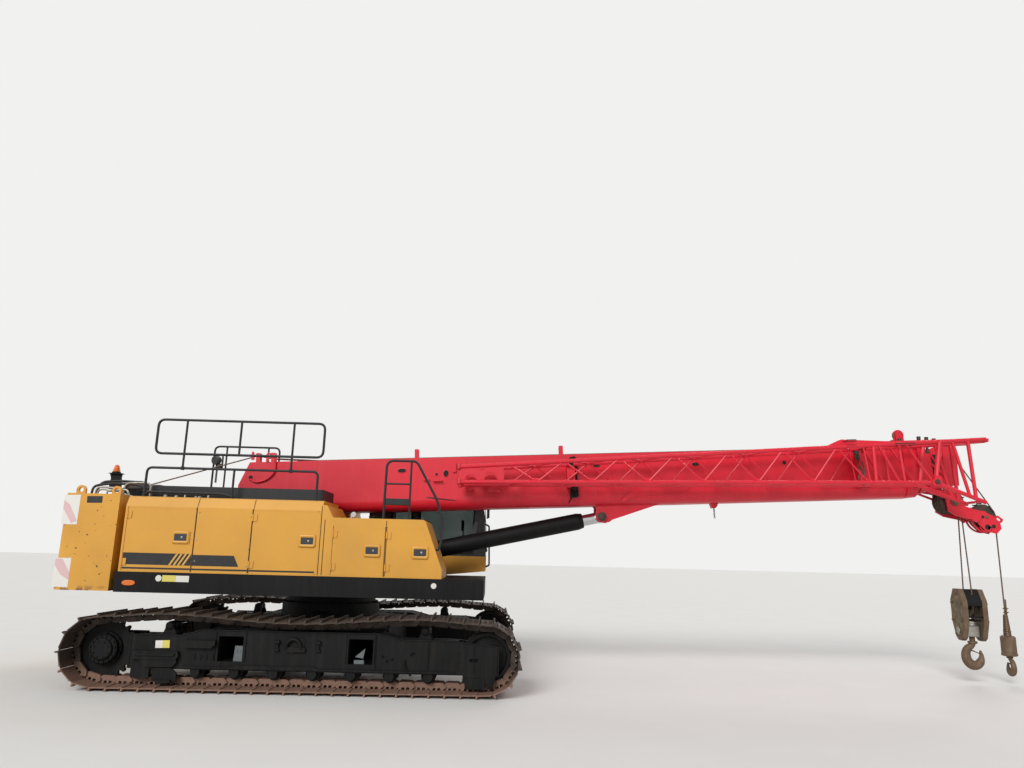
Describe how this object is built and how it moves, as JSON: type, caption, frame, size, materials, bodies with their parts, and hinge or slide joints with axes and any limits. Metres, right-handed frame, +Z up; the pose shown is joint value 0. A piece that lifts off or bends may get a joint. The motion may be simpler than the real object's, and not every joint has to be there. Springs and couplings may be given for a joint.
{
  "type": "telescopic crawler crane",
  "caption": "Telescopic boom crane on crawler tracks with slewing upper works, luffing cylinder, stowed lattice jib, winches and hooks that hang from the boom head.",
  "frame": {"origin": "middle of the crane's box on the ground", "axes": "+X forward along the boom, +Y to the left (cab side), +Z up"},
  "size_m": [13.5989, 4.36, 3.7726],
  "materials": {
    "house_yellow": "semi-gloss ochre enamel, a little dusty",
    "boom_red": "semi-gloss red enamel",
    "frame_black": "satin black paint",
    "undercarriage_black": "satin black paint, dusty",
    "track_steel": "bare steel, rusty and dusty",
    "engine_grey": "painted casting",
    "rail_grey": "satin dark grey paint",
    "rope_steel": "greased wire rope",
    "window_glass": "tinted safety glass",
    "seat_black": "black vinyl and plastic",
    "sheave_steel": "worn steel",
    "rod_chrome": "hard chrome",
    "hook_iron": "rusty painted casting"
  },
  "bodies": {
    "undercarriage": {"carbody": "undercarriage_black"},
    "right_track": {"track_frame_right": "undercarriage_black", "track_right": "track_steel", "sprocket_right": "undercarriage_black", "idler_right": "undercarriage_black", "rollers_right": "undercarriage_black"},
    "left_track": {"track_frame_left": "undercarriage_black", "track_left": "track_steel", "sprocket_left": "undercarriage_black", "idler_left": "undercarriage_black", "rollers_left": "undercarriage_black"},
    "upper": {"upper_frame": "frame_black", "counterweight": "house_yellow", "engine": "engine_grey", "house_right": "house_yellow", "house_left": "house_yellow", "tank_house": "house_yellow", "roof_walkway": "rail_grey", "handrails_right": "rail_grey", "handrails_left": "rail_grey", "front_rail": "rail_grey", "cab_body": "house_yellow", "cab_glass": "window_glass", "seat": "seat_black", "controls": "seat_black"},
    "front_drum": {"winch_front": "rope_steel"},
    "rear_drum": {"winch_rear": "rope_steel"},
    "sliding_door": {"cab_door": "house_yellow", "cab_door_glass": "window_glass"},
    "boom": {"boom_base": "boom_red", "jib": "boom_red"},
    "mid_section": {"boom_mid": "boom_red"},
    "tip_section": {"boom_tip": "boom_red"},
    "top_sheaves": {"head_sheaves": "sheave_steel"},
    "front_sheave": {"nose_sheave": "sheave_steel"},
    "barrel": {"ram_barrel": "frame_black"},
    "rod": {"ram_rod": "rod_chrome"},
    "main_block": {"main_falls": "rope_steel", "hook_block": "hook_iron"},
    "hook": {"main_hook": "hook_iron"},
    "second_line": {"aux_fall": "rope_steel", "aux_weight": "hook_iron"},
    "second_hook": {"aux_hook": "hook_iron"},
    "door_right_rear_leaf": {"door_right_rear": "house_yellow"},
    "door_right_mid_leaf": {"door_right_mid": "house_yellow"},
    "door_tank_rear_leaf": {"door_tank_rear": "house_yellow"},
    "door_tank_front_leaf": {"door_tank_front": "house_yellow"},
    "door_left_rear_leaf": {"door_left_rear": "house_yellow"},
    "door_left_mid_leaf": {"door_left_mid": "house_yellow"}
  },
  "joints": [
    {"name": "slew", "type": "hinge", "parent": "undercarriage", "child": "upper", "pos_m": [-3.43645, 0, 1.1], "axis": [0, 0, 1], "continuous": true},
    {"name": "right_track_slide", "type": "slide", "parent": "undercarriage", "child": "right_track", "axis": [0, 1, 0], "range_m": [0, 0.58]},
    {"name": "left_track_slide", "type": "slide", "parent": "undercarriage", "child": "left_track", "axis": [0, -1, 0], "range_m": [0, 0.58]},
    {"name": "boom_luff", "type": "hinge", "parent": "upper", "child": "boom", "pos_m": [-4.63645, 0, 2.4], "axis": [0, -1, 0], "range_deg": [-3, 75]},
    {"name": "mid_slide", "type": "slide", "parent": "boom", "child": "mid_section", "axis": [0.9986, 0, 0.0523], "range_m": [0, 7.8]},
    {"name": "tip_slide", "type": "slide", "parent": "mid_section", "child": "tip_section", "axis": [0.9986, 0, 0.0523], "range_m": [0, 7.8]},
    {"name": "ram_swing", "type": "hinge", "parent": "upper", "child": "barrel", "pos_m": [-2.58645, 0, 1.6], "axis": [0, -1, 0], "range_deg": [-3.84, 84.04]},
    {"name": "ram_stroke", "type": "slide", "parent": "barrel", "child": "rod", "axis": [0.9768, 0, 0.214], "range_m": [-0.109, 2.6054]},
    {"name": "main_line_plumb", "type": "hinge", "parent": "tip_section", "child": "main_block", "pos_m": [5.9847, 0, 2.65622], "axis": [0, -1, 0], "range_deg": [-75.5, 3.5]},
    {"name": "second_line_plumb", "type": "hinge", "parent": "tip_section", "child": "second_line", "pos_m": [6.50682, 0, 2.43825], "axis": [0, -1, 0], "range_deg": [-75.5, 3.5]},
    {"name": "hook_swivel", "type": "hinge", "parent": "main_block", "child": "hook", "pos_m": [6.1532, 0, 0.5], "axis": [0, 0, 1], "continuous": true},
    {"name": "second_hook_swivel", "type": "hinge", "parent": "second_line", "child": "second_hook", "pos_m": [6.69732, 0, 0.3], "axis": [0, 0, 1], "continuous": true},
    {"name": "top_sheaves_spin", "type": "hinge", "parent": "tip_section", "child": "top_sheaves", "pos_m": [5.9847, 0, 2.65622], "axis": [0, 1, 0], "continuous": true},
    {"name": "front_sheave_spin", "type": "hinge", "parent": "tip_section", "child": "front_sheave", "pos_m": [6.50682, 0, 2.43825], "axis": [0, 1, 0], "continuous": true},
    {"name": "front_drum_spin", "type": "hinge", "parent": "upper", "child": "front_drum", "pos_m": [-5.66645, 0, 2.04], "axis": [0, 1, 0], "continuous": true},
    {"name": "rear_drum_spin", "type": "hinge", "parent": "upper", "child": "rear_drum", "pos_m": [-6.33645, 0, 2.33], "axis": [0, 1, 0], "continuous": true},
    {"name": "cab_door_slide", "type": "slide", "parent": "upper", "child": "sliding_door", "axis": [-1, 0, 0], "range_m": [0, 0.7]},
    {"name": "door_right_rear_hinge", "type": "hinge", "parent": "upper", "child": "door_right_rear_leaf", "pos_m": [-5.90045, -1.51074, 1.8], "axis": [0, 0, -1], "range_deg": [0, 90]},
    {"name": "door_right_mid_hinge", "type": "hinge", "parent": "upper", "child": "door_right_mid_leaf", "pos_m": [-4.25045, -1.51074, 1.8], "axis": [0, 0, -1], "range_deg": [0, 90]},
    {"name": "door_tank_rear_hinge", "type": "hinge", "parent": "upper", "child": "door_tank_rear_leaf", "pos_m": [-3.18045, -1.51074, 1.8], "axis": [0, 0, -1], "range_deg": [0, 90]},
    {"name": "door_tank_front_hinge", "type": "hinge", "parent": "upper", "child": "door_tank_front_leaf", "pos_m": [-2.47045, -1.51074, 1.8], "axis": [0, 0, -1], "range_deg": [0, 90]},
    {"name": "door_left_rear_hinge", "type": "hinge", "parent": "upper", "child": "door_left_rear_leaf", "pos_m": [-5.90045, 1.51074, 1.8], "axis": [0, 0, 1], "range_deg": [0, 90]},
    {"name": "door_left_mid_hinge", "type": "hinge", "parent": "upper", "child": "door_left_mid_leaf", "pos_m": [-4.25045, 1.51074, 1.8], "axis": [0, 0, 1], "range_deg": [0, 90]}
  ],
  "couplings": [
    {"joint": "tip_slide", "follows": "mid_slide", "ratio": 1},
    {"joint": "ram_swing", "follows": "boom_luff", "ratio": 1.1138},
    {"joint": "ram_stroke", "follows": "boom_luff", "m_per_rad": 1.9866},
    {"joint": "main_line_plumb", "follows": "boom_luff", "ratio": -1},
    {"joint": "second_line_plumb", "follows": "boom_luff", "ratio": -1}
  ]
}
